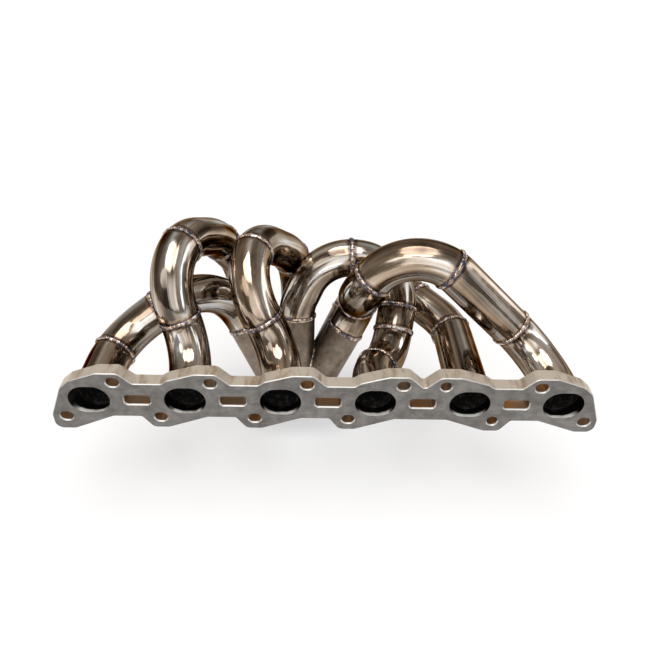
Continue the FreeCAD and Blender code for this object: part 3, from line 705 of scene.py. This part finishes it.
def seamEdges(mesh, keep):
    # Sharp outer edges that pass the test, with the direction in which the bead faces
    sharp = math.radians(collectorSeam["sharp"])
    for edge in mesh.edges:
        if len(edge.link_faces) != 2 or edge.calc_face_angle() < sharp:
            continue
        for wall, cut in (edge.link_faces, reversed(edge.link_faces)):
            if keep(edge, wall, cut):
                away = wall.normal - cut.normal * wall.normal.dot(cut.normal)
                yield edge, away.normalized()
                break


def collectSeams():
    # Points, edges and outward directions of the lines on which the collector's beads lie
    legs = [name for name in sorted(nodes) if name.startswith("collector_leg")]
    meshes = {name: mergedCopy(name) for name in legs + ["collector_outlet_cone"]}
    trees = {name: BVHTree.FromBMesh(mesh) for name, mesh in meshes.items()}
    points, edges, outward = [], [], []

    def gather(mesh, keep):
        numbers = {}
        for edge, away in seamEdges(mesh, keep):
            for vertex in edge.verts:
                if vertex not in numbers:
                    numbers[vertex] = len(points)
                    points.append(vertex.co.copy())
                    outward.append(Vector())
                outward[numbers[vertex]] += away
            edges.append([numbers[vertex] for vertex in edge.verts])

    def middleOf(edge):
        return (edge.verts[0].co + edge.verts[1].co) / 2

    for name in legs:
        tree = trees[name]
        # The weld at the leg's inlet is the one whose middle lies on the leg's own axis
        inlet = min(rings[name.split("_")[2]], key=lambda ring: abs(
            tree.find_nearest(ring["middle"])[3] - tubeDressing["boreRadius"]))

        def onOutside(edge, wall, cut):
            fromInlet = middleOf(edge) - inlet["middle"]
            along = fromInlet.dot(inlet["axis"])
            radial = fromInlet - inlet["axis"] * along
            if abs(radial.length - tubeDressing["tubeRadius"]) > collectorSeam["near"]:
                return False
            if abs(along) < collectorSeam["pastInlet"]:
                return False
            if abs(wall.normal.dot(inlet["axis"])) > collectorSeam["square"]:
                return False
            if wall.normal.dot(radial) < 0:
                return False
            near = [other for other in legs if other != name
                    and trees[other].find_nearest(middleOf(edge))[3] < collectorSeam["near"]]
            return not near or max(near) > name

        gather(meshes[name], onOutside)
    cone = meshes["collector_outlet_cone"]
    centre = sum((vertex.co for vertex in cone.verts), Vector()) / len(cone.verts)

    def atFoot(edge, wall, cut):
        return (cut.normal.z < collectorSeam["footFacing"]
                and abs(wall.normal.z) < collectorSeam["wallFacing"]
                and wall.normal.dot(middleOf(edge) - centre) > 0)

    gather(cone, atFoot)
    for mesh in meshes.values():
        mesh.free()
    return points, edges, [away.normalized() for away in outward]


seamPoints, seamLines, seamOutward = collectSeams()
seamSizes = dict(rippleSizes)
for name in ("Spacing", "Scale Length", "Scale Width", "Scale Height"):
    seamSizes[name] *= collectorSeam["finer"]
layRipples("weld_ripples_collector", seamPoints, seamLines, seamOutward, seamSizes)
print("collector seams laid:", len(seamLines), "edges")

giveMaterial("turbine_flange", turbineSteel)
giveMaterial("collector_outlet_cone", turbineSteel)
for runner in runners:
    giveMaterial(f"runner_{runner}_weld_beads", weldSteel)
print("welds and turbine flange finished")

# Metres, degrees, and millimetres for the lens and its sensor
camera = {
    "place": (-0.01706, -0.47004, 0.43753), "turn": (54.117, -1.394, -0.405),
    "lens": 34.75, "sensor": 36.0, "nearest": 0.01,
}

shot = bpy.data.objects.new("shotCamera", bpy.data.cameras.new("shotCamera"))
bpy.context.collection.objects.link(shot)
shot.location = camera["place"]
shot.rotation_euler = [math.radians(angle) for angle in camera["turn"]]
shot.data.lens = camera["lens"]
shot.data.sensor_width = camera["sensor"]
shot.data.clip_start = camera["nearest"]
bpy.context.scene.camera = shot

floorLook = {
    "size": 40.0, "colour": (0.93, 0.93, 0.93), "paper": (0.95, 0.95, 0.95),
    "grain": {"scale": 3.0, "detail": 2.0}, "roughness": 0.9, "white": 0.55,
}


def makeFloor():
    low = cadBox[0][2]
    half = floorLook["size"] / 2
    corners = [(-half, -half, low), (half, -half, low), (half, half, low), (-half, half, low)]
    data = bpy.data.meshes.new("studioFloor")
    data.from_pydata(corners, [], [(0, 1, 2, 3)])
    floor = bpy.data.objects.new("studioFloor", data)
    bpy.context.collection.objects.link(floor)
    material, book = newMaterial("paleFloor")
    grain = book.noise(book.place(), **floorLook["grain"])
    colour = book.blend(floorLook["colour"], floorLook["paper"], grain)
    paper = book.add("ShaderNodeBsdfPrincipled", None, {
        "Base Color": colour, "Roughness": floorLook["roughness"], "Specular IOR Level": 0.0})
    # The camera and the metal see a whiter page, on which the shadow is faint
    white = book.add("ShaderNodeEmission", None, {"Color": (1.0, 1.0, 1.0), "Strength": 1.0})
    direct, mirrored, through = [book.add("ShaderNodeLightPath", output=f"Is {kind} Ray")
                                 for kind in ("Camera", "Glossy", "Transmission")]
    seen = book.larger(book.larger(direct, mirrored), through)
    page = book.add("ShaderNodeMixShader", None, {0: seen * floorLook["white"], 1: paper, 2: white})
    book.add("ShaderNodeOutputMaterial", None, {"Surface": page})
    data.materials.append(material)


makeFloor()

lamps = {
    "overhead": {"turn": (8, -4, 0), "power": 2.0, "spread": 46},
    "fill": {"turn": (48, 0, -40), "power": 0.35, "spread": 30},
}
for name, lamp in lamps.items():
    light = bpy.data.objects.new(name, bpy.data.lights.new(name, "SUN"))
    bpy.context.collection.objects.link(light)
    light.rotation_euler = [math.radians(angle) for angle in lamp["turn"]]
    light.data.energy = lamp["power"]
    light.data.angle = math.radians(lamp["spread"])

# Places in the sky are parts of a direction of length 1: x to the right, y away, z up
sky = {
    "back": (0.205, 0.177, 0.154), "high": (0.34, 0.31, 0.28), "rise": (0.0, 0.8),
    "window": (1.64, 1.70, 1.80), "middle": 0.08, "sides": (0.32, 0.46), "front": (-0.9, -0.1),
    "heights": (0.02, 0.12, 0.62, 0.86), "second": (0.80, 0.84, 0.90, 0.94),
    "horizon": (0.95, 0.93, 0.90), "horizonTop": (0.10, 0.16), "rear": (-0.1, 0.3),
}


def makeSky():
    # A dim room with a wide window and a narrow one, and a pale strip along the far wall
    world = bpy.data.worlds.new("studioSky")
    world.use_nodes = True
    world.node_tree.nodes.clear()
    book = NodeBook(world.node_tree)
    x, y, z = book.axes(book.add("ShaderNodeTexCoord", output="Generated"))
    room = book.blend(sky["back"], sky["high"], book.band(z, *sky["rise"]))
    front = book.band(y, *sky["front"], 1.0, 0.0)
    wide = book.band(book.absolute(x - sky["middle"]), *sky["sides"], 1.0, 0.0) * front
    left, leftGlass, rightGlass, right = sky["second"]
    narrow = book.band(x, left, leftGlass) * book.band(x, rightGlass, right, 1.0, 0.0)
    sill, lowGlass, highGlass, lintel = sky["heights"]
    tall = book.band(z, sill, lowGlass) * book.band(z, highGlass, lintel, 1.0, 0.0)
    window = book.larger(wide, narrow) * tall
    behind = book.band(z, *sky["horizonTop"], 1.0, 0.0) * book.band(y, *sky["rear"])
    colour = book.blend(book.blend(room, sky["horizon"], behind), sky["window"], window)
    light = book.add("ShaderNodeBackground", None, {"Color": colour, "Strength": 1.0})
    book.add("ShaderNodeOutputWorld", None, {"Surface": light})
    bpy.context.scene.world = world


makeSky()
bpy.context.scene.view_settings.view_transform = "Standard"
print("stage set")
